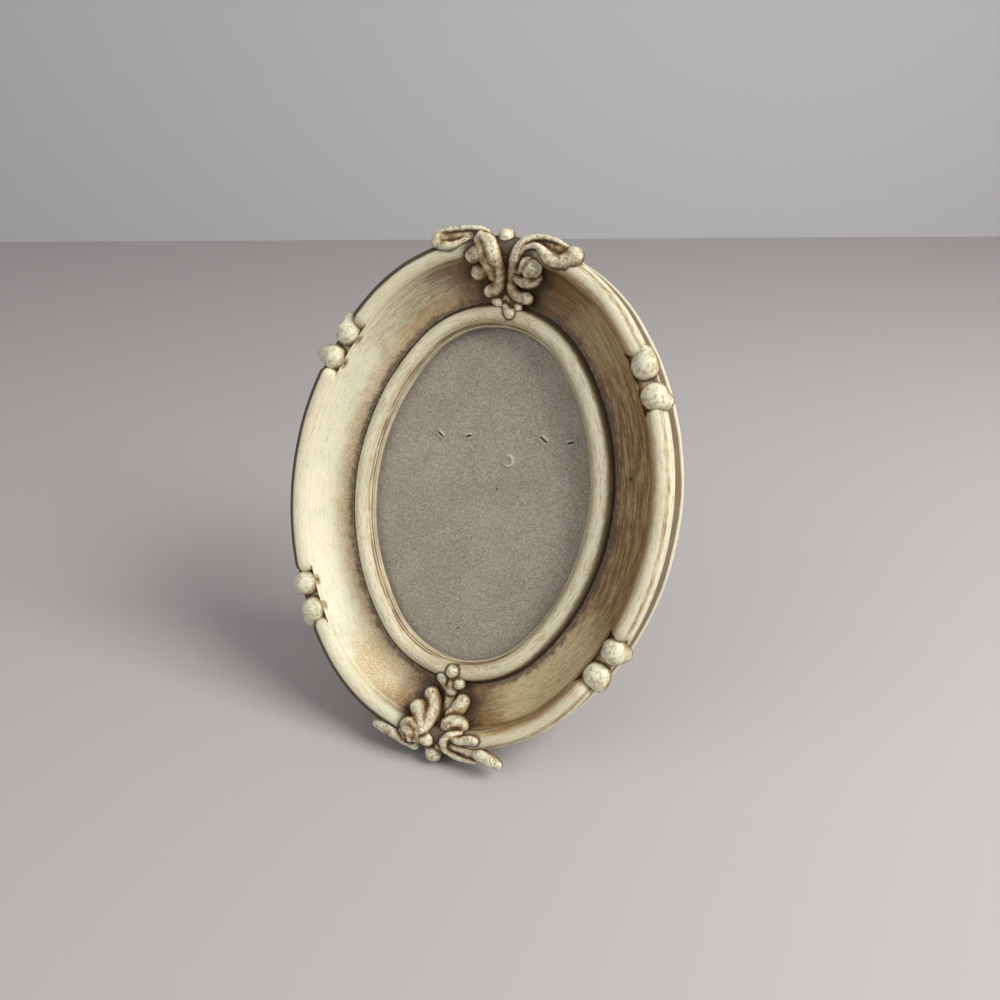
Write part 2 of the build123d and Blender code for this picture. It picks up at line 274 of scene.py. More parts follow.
def newNode(kind, inputs, **settings):
    node = making["tree"].nodes.new("ShaderNode" + kind)
    for key, value in settings.items():
        setattr(node, key, value)
    setInputs(node, inputs)
    return node


def attributeOf(name, output="Fac"):
    return newNode("Attribute", {}, attribute_name=name).outputs[output]


def calc(operation, first, second=0.0):
    return newNode("Math", {0: first, 1: second}, operation=operation).outputs[0]


def times(first, second):
    return calc("MULTIPLY", first, second)


def larger(first, second):
    return calc("MAXIMUM", first, second)


def spread(value, low, high, outLow=0.0, outHigh=1.0):
    # A smooth step from outLow to outHigh as value goes from low to high
    values = {"Value": value, "From Min": low, "From Max": high, "To Min": outLow, "To Max": outHigh}
    return newNode("MapRange", values, interpolation_type="SMOOTHSTEP").outputs["Result"]


def band(value, low, high, edge):
    # 1 between low and high, fading over edge on both sides
    return times(spread(value, low - edge, low + edge), spread(value, high - edge, high + edge, 1.0, 0.0))


def stretched(vector, scale):
    return newNode("VectorMath", {0: vector, 1: scale}, operation="MULTIPLY").outputs[0]


def noiseOf(vector, scale, detail=3.0, roughness=0.55, distortion=0.0):
    values = {"Vector": vector, "Scale": scale, "Detail": detail}
    return newNode("TexNoise", {**values, "Roughness": roughness, "Distortion": distortion}).outputs["Fac"]


def spotsOf(vector, scale, size):
    # Small round dots, 1 inside a dot
    node = newNode("TexVoronoi", {"Vector": vector, "Scale": scale, "Randomness": 1.0})
    return spread(node.outputs["Distance"], size * 0.5, size, 1.0, 0.0)


def asColour(value):
    # A node's output, a colour of the paint by its name, or plain red, green and blue
    if isinstance(value, bpy.types.NodeSocket):
        return value
    return (*(paint[value] if isinstance(value, str) else value), 1.0)


def blendColour(factor, base, top):
    values = {0: factor, 6: asColour(base), 7: asColour(top)}
    return newNode("Mix", values, data_type="RGBA", blend_type="MIX", clamp_factor=True).outputs[2]


def layered(colour, top, strength, *masks):
    # Lays the colour top over what is there, where every mask lets it through
    factor = strength
    for mask in masks:
        factor = times(mask, factor)
    return blendColour(factor, colour, top)


def lay(top, strength, *masks):
    making["colour"] = layered(making["colour"], top, strength, *masks)


def addBump(shader, height, strength, distance):
    node = newNode("Bump", {"Strength": strength, "Distance": distance, "Height": height})
    setInputs(shader, {"Normal": node.outputs["Normal"]})


def uprightCoordinates():
    # The upright millimetre coordinates of a CAD node, from its Object coordinates
    source = newNode("TexCoord", {}).outputs["Object"]
    place = -(Matrix.Rotation(-turnUp, 3, "X") @ Vector((0, stance["forward"], stance["rise"])))
    values = {"Vector": source, "Scale": (1000, 1000, 1000), "Rotation": (-turnUp, 0, 0), "Location": place}
    return newNode("Mapping", values).outputs["Vector"]


def axesOf(vector):
    return newNode("SeparateXYZ", {0: vector}).outputs


# Antiqued paint of the moulding and its ornament

paint = {
    "cream": (0.77, 0.73, 0.535),
    "greenCream": (0.69, 0.685, 0.485),
    "warmCream": (0.79, 0.655, 0.44),
    "tan": (0.37, 0.20, 0.052),
    "olive": (0.172, 0.084, 0.015),
    "glaze": (0.33, 0.205, 0.082),
    "orange": (0.50, 0.27, 0.085),
    "paleOlive": (0.66, 0.53, 0.29),
    "rust": (0.20, 0.070, 0.022),
    "umber": (0.040, 0.021, 0.009),
    "stainShadeBrown": (0.105, 0.068, 0.052),
    "bareResin": (0.52, 0.47, 0.36),
    "roughness": 0.42,
}


def wavy(value, noise, reach):
    # Shifts a value by up to half of reach either way, so that its edges wander
    return calc("ADD", value, times(calc("SUBTRACT", noise, 0.5), reach))


def spotAt(x, y, centreX, centreY, radius):
    squares = [calc("POWER", calc("SUBTRACT", a, middle), 2.0) for a, middle in ((x, centreX), (y, centreY))]
    return spread(calc("ADD", *squares), radius**2, (0.5 * radius)**2)


def alongPath(x, y, across):
    # Coordinates that run slowly along the oval and quickly across it
    return newNode("CombineXYZ", {0: times(x, 0.10), 1: times(y, 0.10), 2: times(across, 1.5)}).outputs[0]


def makePaint(name, colourOf):
    material, shader = newMaterial(name)
    place = attributeOf("upright", "Vector")
    noise = {
        "patches": noiseOf(place, 0.11, 4.0, 0.6, 0.4),
        "mottle": noiseOf(place, 0.55, 5.0, 0.65),
        "blots": noiseOf(place, 1.05, 5.0, 0.72, 0.6),
        "grain": noiseOf(place, 3.4, 3.0, 0.7),
        "grit": noiseOf(place, 6.5, 2.0, 0.6),
    }
    making["colour"] = blendColour(spread(noise["patches"], 0.42, 0.62), "cream", "greenCream")
    lay("warmCream", 0.6, spread(noise["mottle"], 0.46, 0.72))
    relief = colourOf(place, noise)
    lay("olive", 0.38, spread(noise["grit"], 0.54, 0.72))
    lay("cream", 0.10, spread(noise["grit"], 0.46, 0.30, 0.0, 1.0))
    gloss = spread(noise["mottle"], 0.35, 0.70, paint["roughness"] - 0.06, paint["roughness"] + 0.14)
    setInputs(shader, {"Base Color": making["colour"], "Roughness": gloss, "Specular IOR Level": 0.30})
    setInputs(shader, {"Coat Weight": 0.06, "Coat Roughness": 0.28})
    fine = calc("ADD", times(noise["grain"], 0.5), times(noise["mottle"], 0.8))
    addBump(shader, calc("ADD", fine, relief), 0.35, 0.0003)
    return material


def ornamentColour(place, noise):
    hollow, lift, facing = (attributeOf(key) for key in ("hollow", "lift", "facing"))
    mottle, blots, grain = noise["mottle"], noise["blots"], noise["grain"]

    # Brown wash caught in patches and in hollows, and painted shade: darker on the flanks, the less they face
    # the front, and at the base, where the ornament meets the moulding
    lay("glaze", 0.58, spread(blots, 0.50, 0.60))
    # Rows on facing are painted shade on the flanks, rows on lift are painted shade at the base, and rows on
    # hollow are the wash
    for top, strength, value, wander, reach, low, high in (
        ("glaze", 0.62, facing, mottle, 0.8, 0.68, 0.34), ("glaze", 0.70, hollow, mottle, 0.34, -0.18, -0.05),
        ("olive", 0.88, facing, blots, 0.6, 0.42, 0.12), ("olive", 0.90, hollow, blots, 0.30, -0.09, 0.04),
        ("umber", 0.95, hollow, grain, 0.20, 0.01, 0.11), ("umber", 0.60, facing, blots, 0.4, 0.18, -0.08),
        ("olive", 0.80, lift, mottle, 1.4, 1.9, 1.1), ("umber", 0.94, lift, mottle, 1.0, 1.25, 0.55),
    ):
        lay(top, strength, spread(wavy(value, wander, reach), low, high))

    # Pinholes in clusters, and short dark scratches
    clusters = times(spread(blots, 0.42, 0.56), spread(hollow, -0.30, -0.24, 0.3, 1.0))
    lay("umber", 0.85, spotsOf(place, 1.7, 0.34), clusters)
    lay("olive", 0.85, spread(grain, 0.56, 0.64), clusters)
    return times(blots, 1.2)


def mouldingColour(place, noise):
    x, y, z = axesOf(place)
    across, near, knobNear = (attributeOf(key) for key in ("across", "near", "knobNear"))
    patches, mottle, blots, grain = noise["patches"], noise["mottle"], noise["blots"], noise["grain"]
    path = alongPath(x, y, across)
    streaks = noiseOf(path, 1.6, 5.0, 0.66, 0.3)
    fineStreaks = noiseOf(path, 3.6, 5.0, 0.74, 0.2)
    scoop = band(across, 5.2, 13.1, 0.35)
    wavyX = wavy(x, patches, 22.0)
    high = spread(wavy(y, patches, 20.0), 20.0, 34.0)

    # Brown wash over the scoop: thick on the right, thinner at the top left, brushed out along the path
    rightness = spread(wavyX, -1.0, 11.0)
    topLeft = times(times(high, spread(wavyX, -36.0, -10.0, 0.25, 1.0)), 0.70)
    wash = larger(rightness, topLeft)
    brushed = spread(calc("ADD", times(streaks, 0.7), times(blots, 0.3)), 0.36, 0.58, 0.74, 1.0)
    washColour = blendColour(spread(streaks, 0.40, 0.56), "tan", "olive")
    redder = times(spread(wavy(near, mottle, 8.0), 17.0, 6.0), high)
    washColour = layered(washColour, "rust", 0.85, redder, spread(streaks, 0.36, 0.54, 0.35, 1.0))
    lay(washColour, 0.97, wash, scoop, brushed)
    thick = spread(fineStreaks, 0.50, 0.64)
    lay("olive", 0.78, wash, scoop, thick)
    paler = times(spotAt(wavyX, y, 24.0, 36.0, 10.0), 0.35)
    paler = larger(paler, spotAt(wavyX, wavy(y, mottle, 9.0), 23.0, -36.0, 19.0))
    lay("paleOlive", 0.95, paler, scoop, spread(fineStreaks, 0.66, 0.46, 0.30, 1.0))
    chip = spotAt(x, y, 31.55, 8.46, 0.55)
    lay("umber", 0.95, chip)

    # Light brush marks on the left, and orange mottling near the groove and at the lower left
    lay("glaze", 0.40, spread(fineStreaks, 0.52, 0.66), scoop)
    lay("greenCream", 0.65, spread(fineStreaks, 0.50, 0.36), scoop, spread(x, 4.0, -10.0))
    nearGroove = spread(wavy(across, mottle, 7.0), 6.6, 10.2, 1.0, 0.0)
    lowerLeft = spotAt(wavyX, wavy(y, mottle, 6.0), -13.0, -38.0, 13.0)
    spotty = spread(grain, 0.38, 0.58, 0.15, 1.0)
    lay("orange", 0.74, larger(nearGroove, lowerLeft), scoop, spotty, spread(x, 10.0, -2.0))

    # Bead round the opening: worn lines along it, and painted shade in tan on its inner side and in thin
    # brown lines at the lip
    onBead = band(across, 0.7, 4.1, 0.1)
    beadTan = larger(spread(near, 9.0, 2.0, 0.0, 0.4), spread(fineStreaks, 0.50, 0.62))
    lay("tan", 0.66, beadTan, onBead)
    innerSide = spread(wavy(across, mottle, 0.8), 0.9, 1.9, 1.0, 0.0)
    lay("tan", 0.46, innerSide, spread(streaks, 0.38, 0.56, 0.4, 1.0))
    specked = spread(near, 14.0, 3.0)
    lay("olive", 0.70, spread(grain, 0.55, 0.64), onBead, specked)
    for low, highEdge in ((0.04, 0.10), (0.54, 0.68)):
        lay("umber", 0.8, band(across, low, highEdge, 0.06), spread(streaks, 0.36, 0.50, 0.3, 1.0))

    # Brown stain blotched across the groove and just outside it, partly painted shade there; painted shade on
    # the outer flank of the bead, and as the dark line in the groove itself
    stainAndShade = band(wavy(across, mottle, 3.2), 4.6, 6.2, 0.6)
    lay("stainShadeBrown", 0.88, stainAndShade, spread(blots, 0.36, 0.54, 0.55, 1.0))
    beadFlank = spread(wavy(across, mottle, 0.7), 3.45, 4.2)
    lay("olive", 0.72, beadFlank, spread(across, 5.2, 4.9))
    grooveLine = band(wavy(across, grain, 0.25), 4.30, 5.05, 0.22)
    lay("umber", 0.96, grooveLine)

    # Rim bead: painted shade in a brown line at its inner crease on the right, and on its golden-brown inner
    # flank and darker outer flank there; its outer wall dark
    creaseLine = band(wavy(across, grain, 0.3), 12.75, 13.35, 0.3)
    creased = larger(spread(x, 2.0, 14.0), spread(near, 5.0, 1.5, 0.0, 0.8))
    lay("olive", 0.85, creaseLine, creased, spread(streaks, 0.36, 0.52, 0.4, 1.0))
    onRim = band(across, 13.3, 17.4, 0.15)
    lay("tan", 0.52, onRim, spread(fineStreaks, 0.50, 0.64, 0.22, 1.0))
    golden = spread(wavy(across, mottle, 1.2), 15.0, 13.9)
    lay("tan", 0.80, golden, onRim, spread(x, 0.0, 14.0), spread(streaks, 0.36, 0.56, 0.5, 1.0))
    lay("olive", 0.70, spread(wavy(across, grain, 0.5), 14.2, 13.2), onRim, spread(x, 0.0, 14.0))
    outerFlank = band(wavy(across, mottle, 0.5), 16.2, 16.9, 0.25)
    lay("olive", 0.80, outerFlank, onRim, spread(x, -6.0, 10.0), spread(fineStreaks, 0.38, 0.60, 0.3, 1.0))
    # Painted shade: the rim's outer half is dark on the left, starting nearer its crest than on the right;
    # the wall itself is brown paint with rust and tan streaks and a darker band along it
    rimShift = spread(x, -10.0, 10.0, 0.0, 1.4)
    outer = spread(wavy(calc("SUBTRACT", across, rimShift), grain, 0.4), 15.45, 15.95)
    wallColour = blendColour(spread(blots, 0.40, 0.66), "umber", "olive")
    wallColour = layered(wallColour, "rust", 0.28, spread(mottle, 0.46, 0.62))
    wallColour = layered(wallColour, "tan", 0.30, spread(grain, 0.54, 0.68))
    upper = larger(band(z, 6.4, 7.3, 0.3), spread(x, 4.0, -6.0))
    wallColour = layered(wallColour, "umber", 0.9, upper)
    rightTop = times(spread(z, 7.0, 7.8), spread(x, -2.0, 8.0))
    wallShown = times(spread(z, 1.4, 1.7), calc("SUBTRACT", 1.0, rightTop))
    lay(wallColour, 0.95, outer, wallShown)

    # Brown wash darkening the ground round the ornament, and painted shade, near-black, close against the
    # ornament and as a thin line round the knobs
    nearer = wavy(near, mottle, 5.0)
    lay("olive", 0.86, spread(nearer, 8.5, 2.6), scoop, spread(grain, 0.36, 0.60, 0.7, 1.0))
    lay("umber", 0.93, spread(nearer, 3.6, 0.8), scoop, spread(grain, 0.32, 0.56, 0.72, 1.0))
    inMiddle = spread(calc("ABSOLUTE", x), 9.0, 6.5)
    lay("umber", 0.90, spread(wavy(near, mottle, 3.0), 2.2, 0.9), spread(z, 7.0, 8.5), inMiddle)
    lay("umber", 0.90, spread(wavy(near, blots, 1.0), 0.65, 0.15))
    lay("olive", 0.65, spread(wavy(knobNear, blots, 0.3), 0.40, 0.12))

    # A few pinholes in the casting, and the resin left bare at the back
    lay("umber", 0.8, spotsOf(place, 0.8, 0.10), spread(patches, 0.48, 0.58))
    lay("bareResin", 0.85, spread(z, 0.25, 0.05))
    return times(fineStreaks, 0.9)


mouldingPaint = makePaint("antiqueCreamPaint", mouldingColour)
ornamentPaint = makePaint("antiqueOrnamentPaint", ornamentColour)
print("paint mixed")


# Finishes of the pieces that keep their CAD shape

finishes = {
    # pale fibre of the torn lips, also used as a painted highlight on the dent's ridge
    "paleFibreAndHighlight": (0.56, 0.52, 0.44),
    "board": {"base": (0.345, 0.300, 0.235), "light": (0.50, 0.45, 0.37), "dark": (0.19, 0.155, 0.11)},
    "paper": {"base": (0.030, 0.027, 0.025), "light": (0.075, 0.068, 0.060), "dark": (0.016, 0.014, 0.013)},
    "brass": {"base": (0.70, 0.52, 0.24), "light": (0.78, 0.62, 0.34), "dark": (0.30, 0.19, 0.08)},
    "steel": {"base": (0.58, 0.57, 0.56), "light": (0.70, 0.70, 0.69), "dark": (0.24, 0.21, 0.19)},
    "tape": {"base": (0.028, 0.026, 0.024), "light": (0.060, 0.055, 0.050), "dark": (0.012, 0.011, 0.010)},
    "ribbon": {"base": (0.052, 0.042, 0.034), "light": (0.11, 0.092, 0.075), "dark": (0.022, 0.018, 0.014)},
    # x, y and radius of the dark flecks
    "flecks": ((3.3, 1.9, 0.30), (-1.0, -29.1, 0.34), (-12.4, -4.1, 0.16), (9.7, -13.2, 0.15),
               (13.9, 3.1, 0.14)),
}


def makeBoard():
    # Grey chipboard: felted fibres, pale and dark flecks
    values = finishes["board"]
    material, shader = newMaterial("greyChipboard")
    place = uprightCoordinates()
    x, y, _ = axesOf(place)
    patches = noiseOf(place, 0.09, 3.0, 0.6)
    felt = noiseOf(place, 2.6, 5.0, 0.75)
    fibres = noiseOf(stretched(place, (1.0, 4.0, 1.0)), 1.5, 4.0, 0.7, 1.2)
    making["colour"] = blendColour(spread(patches, 0.38, 0.64, 0.0, 0.35), values["base"], values["light"])
    lay(values["dark"], 0.75, spread(felt, 0.48, 0.62))
    lay(values["light"], 0.90, spread(felt, 0.48, 0.34))
    lay(values["dark"], 0.45, spread(fibres, 0.53, 0.64))
    lay((0.72, 0.69, 0.62), 0.85, spotsOf(place, 0.75, 0.11))
    lay((0.05, 0.04, 0.03), 0.7, spotsOf(stretched(place, (1.1, 0.9, 1.0)), 0.7, 0.085))
    for centreX, centreY, radius in finishes["flecks"]:
        lay((0.045, 0.030, 0.020), 0.9, spotAt(x, y, centreX, centreY, radius))
    setInputs(shader, {"Base Color": making["colour"], "Roughness": 0.88, "Specular IOR Level": 0.25})
    addBump(shader, calc("ADD", felt, fibres), 0.45, 0.00018)
    return material


def makeFinish(name, kind, metallic, roughness, scale, stretch, bump):
    # A worn two-tone finish over fine grain, for paper, cloth and metal
    values = finishes[kind]
    material, shader = newMaterial(name)
    place = uprightCoordinates()
    patches = noiseOf(place, 0.35, 4.0, 0.6)
    grain = noiseOf(stretched(place, stretch), scale, 4.0, 0.7)
    making["colour"] = blendColour(spread(patches, 0.40, 0.66), values["base"], values["dark"])
    lay(values["light"], 0.65, spread(grain, 0.50, 0.68))
    lay(values["dark"], 0.50, spread(grain, 0.44, 0.30))
    gloss = spread(grain, 0.35, 0.65, roughness - 0.08, roughness + 0.10)
    setInputs(shader, {"Base Color": making["colour"], "Roughness": gloss, "Metallic": metallic})
    addBump(shader, grain, bump, 0.00012)
    return material


def makeCloth(name, kind, pitch, roughness, sheen):
    # A plain weave: threads both ways, with slubs
    values = finishes[kind]
    material, shader = newMaterial(name)
    place = attributeOf("weave", "Vector")
    x, y, _ = axesOf(place)
    warp = calc("SINE", times(x, 2 * math.pi / pitch))
    weft = calc("SINE", times(y, 2 * math.pi / pitch))
    weave = times(warp, weft)
    slubs = noiseOf(stretched(place, (0.4, 3.0, 1.0)), 1.4, 4.0, 0.65)
    making["colour"] = blendColour(spread(weave, -0.6, 0.6), values["dark"], values["base"])
    lay(values["light"], 0.6, spread(slubs, 0.52, 0.68))
    setInputs(shader, {"Base Color": making["colour"], "Roughness": roughness, "Sheen Weight": sheen})
    addBump(shader, calc("ADD", times(weave, 0.5), slubs), 0.5, 0.00010)
    return material


def makeGlass():
    # Thin picture glass: almost clear, with a trace of dust
    material, shader = newMaterial("pictureGlass")
    place = uprightCoordinates()
    dust = noiseOf(place, 0.5, 5.0, 0.7)
    smears = noiseOf(stretched(place, (0.3, 1.0, 1.0)), 0.2, 3.0, 0.6, 0.8)
    gloss, veil = spread(smears, 0.45, 0.70, 0.04, 0.10), spread(dust, 0.45, 0.75, 0.015, 0.035)
    tint = blendColour(dust, (0.80, 0.84, 0.82), (0.95, 0.97, 0.96))
    setInputs(shader, {"Base Color": tint, "Roughness": gloss, "Alpha": veil})
    return material


boardFinish = makeBoard()
paperFinish = makeFinish("blackPaper", "paper", 0.0, 0.62, 2.2, (1.0, 1.0, 1.0), 0.30)
brassFinish = makeFinish("pressedBrass", "brass", 1.0, 0.34, 1.6, (6.0, 1.0, 1.0), 0.12)
screwFinish = makeFinish("turnedBrass", "brass", 1.0, 0.30, 2.4, (1.0, 1.0, 5.0), 0.15)
steelFinish = makeFinish("stapleSteel", "steel", 1.0, 0.30, 2.6, (1.0, 5.0, 1.0), 0.12)
clothFinish = makeCloth("bookCloth", "tape", 0.32, 0.75, 0.15)
satinFinish = makeCloth("satinRibbon", "ribbon", 0.18, 0.34, 0.25)
glassFinish = makeGlass()

corners = ("upper_left", "upper_right", "lower_left", "lower_right")
kept = [
    (boardFinish, ("backing_board", "strut_flap", "strut_leg")),
    (paperFinish, ("backing_facing", "flap_cover", "leg_cover")),
    (steelFinish, ("flap_staple_left", "flap_staple_right")),
    (brassFinish, [corner + "_clip" for corner in corners]),
    (screwFinish, [corner + "_clip_screw" for corner in corners]),
]
for finish, names in kept:
    for nodeName in names:
        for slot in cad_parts[nodeName].material_slots:
            slot.material = finish
print("CAD nodes finished")


# Moulding: its cross-section is spun round the four arcs of the oval

moulding = {
    "rebate": (2.2, 2.9),
    "beadCentre": (2.35, 4.6),
    "beadRadius": 1.85,
    "grooveDepth": 3.4,
    "scoopStart": (5.2, 3.75),
    "scoopEnd": (13.25, 8.80),
    "scoopSag": 1.3,
    "rimCentre": (15.2, 9.6),
    "rimRadius": 2.12,
    "wallFoot": (17.45, 1.72),
    "flangeEdge": (17.95, 1.38),
    "noseAngles": (19.7, 33.6),
    "stepLength": 0.52,
    "waveSize": 9.0,
    "waveStrength": 0.16,
}


def mouldingSection():
    m = moulding
    start, end = Vector(m["scoopStart"]), Vector(m["scoopEnd"])
    chord = end - start
    middle = (start + end) / 2 + m["scoopSag"] * Vector((chord.y, -chord.x)).normalized()
    # The circle through the scoop's two ends and its lowest point
    half = chord.length / 2
    scoopRadius = (half**2 + m["scoopSag"]**2) / (2 * m["scoopSag"])
    centre = middle + (Vector((-chord.y, chord.x)).normalized() * scoopRadius)
    firstAngle = math.degrees(math.atan2(start.y - centre.y, start.x - centre.x))
    lastAngle = math.degrees(math.atan2(end.y - centre.y, end.x - centre.x))
    rebateX, rebateY = m["rebate"]
    groove = m["grooveDepth"]
    section = [(rebateX, 0.12), (rebateX, 1.5), (rebateX, rebateY), (1.1, rebateY), (0.06, rebateY)]
    section += [(0.0, 3.0), (0.0, 3.5), (0.02, 3.95), (0.12, 4.14), (0.30, 4.21), (0.46, 4.16), (0.56, 4.02)]
    section += [(0.62, 3.98)]
    section += arcPoints(m["beadCentre"], m["beadRadius"], 188, -18, 17)
    section += [(4.22, 3.62), (4.38, groove + 0.05), (4.62, groove), (4.86, groove + 0.06)]
    section += [(5.04, groove + 0.2)]
    section += arcPoints(centre, scoopRadius, firstAngle, lastAngle, 20)
    section += arcPoints(m["rimCentre"], m["rimRadius"], 197, -8, 18)
    wallTop, wallFoot = section[-1], m["wallFoot"]
    section += linePoints(wallTop, wallFoot, 7)
    section += [wallFoot, (17.56, 1.58), (17.78, 1.48), m["flangeEdge"], (17.97, 1.2), (17.97, 0.7)]
    section += [(17.97, 0.12), (17.88, 0.02)]
    section += linePoints((17.88, 0.0), (2.3, 0.0), 12)
    section += [(2.3, 0.02)]
    return section


def spinMoulding():
    section = mouldingSection()
    deselectAll()
    bpy.ops.mesh.primitive_circle_add(vertices=len(section), radius=1.0)
    piece = newest("frameMoulding")
    for vertex, (offset, height) in zip(piece.data.vertices, section):
        vertex.co = (0.0, -(oval["halfHeight"] + offset), height)
    arcs = [
        ((0, -endCentre, 0), math.pi / 2 - joinAngle, oval["endRadius"]),
        ((-sideCentre, 0, 0), 2 * joinAngle, sideRadius),
        ((0, endCentre, 0), math.pi - 2 * joinAngle, oval["endRadius"]),
        ((sideCentre, 0, 0), 2 * joinAngle, sideRadius),
        ((0, -endCentre, 0), math.pi / 2 - joinAngle, oval["endRadius"]),
    ]
    editAll(piece)
    for centre, sweep, radius in arcs:
        steps = round(sweep * (radius + 9) / moulding["stepLength"])
        bpy.ops.mesh.spin(steps=steps, angle=-sweep, center=centre, axis=(0, 0, 1))
    objectMode()
    cleanMesh(piece, 0.004)
    return piece


def intoGap(x, y):
    # Distance along the rim from the nearest bead end, inside the gaps that the knobs fill
    angle = math.degrees(math.atan2(abs(y), abs(x) + sideCentre))
    first, last = moulding["noseAngles"]
    if not first < angle < last:
        return 0.0
    reach = sideRadius + moulding["rimCentre"][0]
    return math.radians(min(angle - first, last - angle)) * reach


def breakRimBead(piece):
    # The rim bead ends in ball noses beside each pair of knobs
    centreX, centreY = moulding["rimCentre"]
    radius = moulding["rimRadius"]
    startX, startY = moulding["scoopEnd"]
    slope = (centreY - 0.3 - startY) / (2 * (centreX - startX))
    for vertex in piece.data.vertices:
        x, y, z = vertex.co
        if z < startY:
            continue
        gap = intoGap(x, y)
        offset = acrossFrom(x, y)
        if gap <= 0 or offset < startX:
            continue
        low = startY + slope * (offset - startX)
        left = radius**2 - (offset - centreX)**2 - gap**2
        ball = centreY + math.sqrt(left) if left > 0 else 0
        vertex.co.z = min(z, max(low, ball))


def flattenFoot(piece):
    # The lowest edge of the flange is cut off level with the table
    tableY = -stance["rise"] / math.cos(lean)
    editAll(piece)
    bpy.ops.mesh.bisect(
        plane_co=(0, tableY, 0), plane_no=(0, math.cos(lean), math.sin(lean)), clear_inner=True, use_fill=True
    )
    objectMode()


# Knobs: smooth teardrops set in pairs on the rim

knob = {
    "angles": (23.7, 29.3),
    # level (1 upper), side (1 right) and kind (0 side knob, 1 end knob): the tail's turn in degrees and reach
    "tails": {
        (1, -1, 0): (-12.0, 2.8), (1, -1, 1): (60.0, 2.6), (1, 1, 0): (-45.0, 2.0),
        (1, 1, 1): (75.0, 2.4), (-1, -1, 0): (-10.0, 1.3), (-1, -1, 1): (50.0, 2.3),
        (-1, 1, 0): (-20.0, 1.5), (-1, 1, 1): (45.0, 1.8),
    },
    "fatRadius": 2.8,
    "tailRadius": 1.85,
    "offset": 15.9,
    "height": 9.4,
    "tailDrop": 0.6,
}


def makeKnob(name, kind, side, level):
    angle = knob["angles"][kind]
    splay, reach = knob["tails"][level, side, kind]
    fat = sidePoint(angle, knob["offset"], knob["height"], side)
    fat.y *= level
    way = math.radians(angle + splay)
    tail = Vector((side * reach * math.cos(way), level * reach * math.sin(way), -knob["tailDrop"]))
    deselectAll()
    bpy.ops.mesh.primitive_uv_sphere_add(segments=36, ring_count=24, radius=knob["fatRadius"])
    piece = newest(name)
    shrink = knob["tailRadius"] / knob["fatRadius"]
    slant = (knob["fatRadius"] - knob["tailRadius"]) / tail.length
    selectVerts(piece, lambda co: co.z < -slant * knob["fatRadius"])
    bpy.ops.transform.resize(value=(shrink, shrink, shrink), center_override=(0, 0, 0))
    bpy.ops.transform.translate(value=(0, 0, -tail.length))
    objectMode()
    turn = (-tail).to_track_quat("Z", "Y").to_matrix().to_4x4()
    setTransform(piece, Matrix.Translation(fat) @ turn)
    applyModifier(piece, "SUBSURF", levels=1, render_levels=1)
    roughen(piece, 2.2, 0.35, 1, "knobWaves")
    return piece


# Ornament: strings of smooth tapering rods joined into one carved form
# Each run is a list of (x, y, z, radius) measured from the middle of the rim's top or foot

